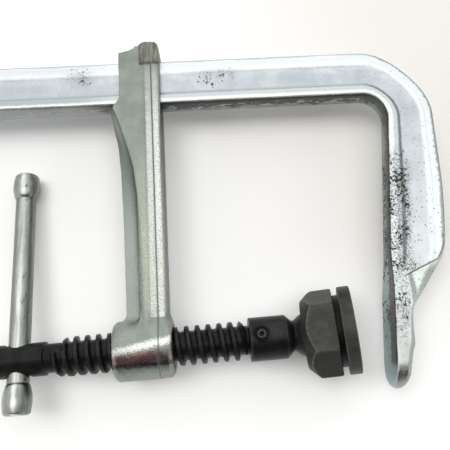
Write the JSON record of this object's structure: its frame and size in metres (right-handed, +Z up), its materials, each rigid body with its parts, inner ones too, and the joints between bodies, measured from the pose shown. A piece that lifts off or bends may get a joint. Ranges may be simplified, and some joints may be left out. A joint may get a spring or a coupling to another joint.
{
  "type": "sliding-arm screw clamp",
  "caption": "Forged steel bar clamp: a bent rail with a fixed jaw, a sliding arm, and a screw with a tommy bar and a swivelling hexagonal pad.",
  "frame": {"origin": "bottom centre of the whole clamp as it lies flat", "axes": "+X along the rail towards the fixed jaw, +Y from the screw towards the rail, +Z up, square to the plane of the clamp"},
  "size_m": [0.38, 0.1891, 0.0457],
  "materials": {
    "rail_zinc": "bright zinc plate over rolled and forged steel, with black scale showing through in specks",
    "arm_zinc": "satin grey-green zinc plate over a drop forging",
    "screw_black": "oiled black oxide",
    "pad_black": "dry black oxide",
    "bar_zinc": "zinc plate with streaks along the bar",
    "pin_steel": "plain spring steel",
    "ring_steel": "oiled black spring steel"
  },
  "bodies": {
    "rail": {"rail": "rail_zinc", "rail_stop_pin": "pin_steel"},
    "arm": {"sliding_arm": "arm_zinc"},
    "swivel_tip": {"ball_tip": "screw_black", "tip_pin": "screw_black"},
    "screw": {"spindle": "screw_black"},
    "tommy": {"tommy_bar": "bar_zinc", "tommy_knob_long": "bar_zinc", "tommy_knob_short": "bar_zinc"},
    "seat_ring": {"pad_seat_ring": "ring_steel"},
    "pad": {"pad_housing": "pad_black", "pad_plate": "pad_black"}
  },
  "joints": [
    {"name": "arm_slide", "type": "slide", "parent": "rail", "child": "arm", "axis": [1, 0, 0], "range_m": [-0.2, 0.002]},
    {"name": "screw_travel", "type": "slide", "parent": "arm", "child": "swivel_tip", "axis": [0.9995, 0.0314, 0], "range_m": [-0.036, 0.009]},
    {"name": "screw_turn", "type": "hinge", "parent": "swivel_tip", "child": "screw", "pos_m": [0.11518, -0.06452, 0.02048], "axis": [0.9995, 0.0314, 0], "range_deg": [-2401, 601]},
    {"name": "tommy_slide", "type": "slide", "parent": "screw", "child": "tommy", "axis": [-0.0311, 0.989, -0.1444], "range_m": [-0.0765, 0.002]},
    {"name": "pad_tilt_in_plane", "type": "hinge", "parent": "swivel_tip", "child": "seat_ring", "pos_m": [0.11518, -0.06452, 0.02048], "axis": [0, 0, -1], "range_deg": [-12, 12]},
    {"name": "pad_tilt_across", "type": "hinge", "parent": "seat_ring", "child": "pad", "pos_m": [0.11518, -0.06452, 0.02048], "axis": [-0.0663, 0.9978, 0], "range_deg": [-2.5, 27.5]}
  ],
  "couplings": [
    {"joint": "screw_turn", "follows": "screw_travel", "rad_per_m": 1163.6}
  ]
}
